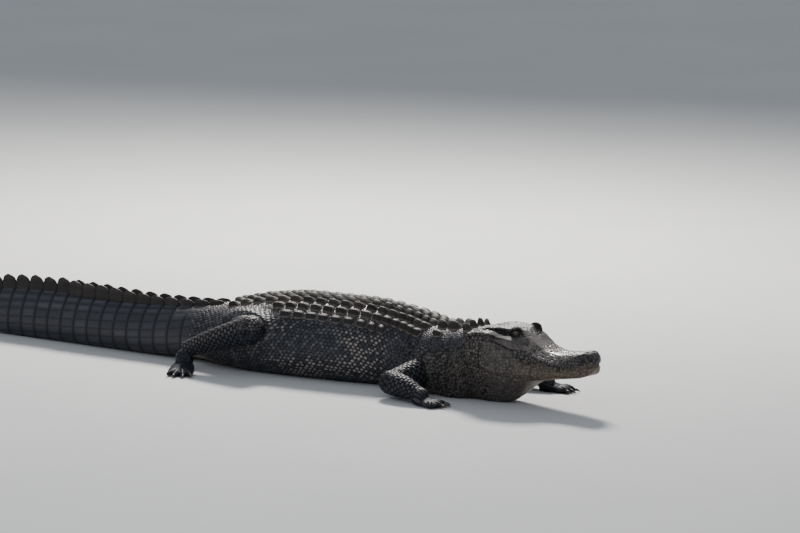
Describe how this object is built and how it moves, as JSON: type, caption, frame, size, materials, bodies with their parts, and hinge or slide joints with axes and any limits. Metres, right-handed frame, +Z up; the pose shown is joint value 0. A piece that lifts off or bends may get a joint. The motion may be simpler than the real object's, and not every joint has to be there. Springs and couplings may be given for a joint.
{
  "type": "american alligator",
  "caption": "Life-size American alligator resting on its belly on the ground, head raised a little and turned to its right, tail stretched out behind.",
  "frame": {"origin": "middle of the animal's floor plan, on the floor it rests on", "axes": "+X along the trunk towards the head, +Y towards the animal's left, +Z up"},
  "size_m": [2.3626, 0.6358, 0.2045],
  "materials": {
    "skin": "dark scaly hide with a dull sheen",
    "jaw_skin": "smoother brown hide of the lower jaw and throat",
    "eye": "wet, glossy",
    "claw": "dark horn, half gloss"
  },
  "bodies": {
    "root": {"eye_left": "eye", "eye_right": "eye", "front_left_claw_1": "claw", "front_left_claw_2": "claw", "front_left_claw_3": "claw", "front_left_foot": "skin", "front_left_lower": "skin", "front_left_upper": "skin", "front_right_claw_1": "claw", "front_right_claw_2": "claw", "front_right_claw_3": "claw", "front_right_foot": "skin", "front_right_lower": "skin", "front_right_upper": "skin", "head": "skin", "hind_left_claw_1": "claw", "hind_left_claw_2": "claw", "hind_left_claw_3": "claw", "hind_left_foot": "skin", "hind_left_lower": "skin", "hind_left_upper": "skin", "hind_right_claw_1": "claw", "hind_right_claw_2": "claw", "hind_right_claw_3": "claw", "hind_right_foot": "skin", "hind_right_lower": "skin", "hind_right_upper": "skin", "lower_jaw": "jaw_skin", "neck": "skin", "tail_base": "skin", "tail_middle": "skin", "tail_rear": "skin", "torso": "skin"}
  },
  "joints": []
}
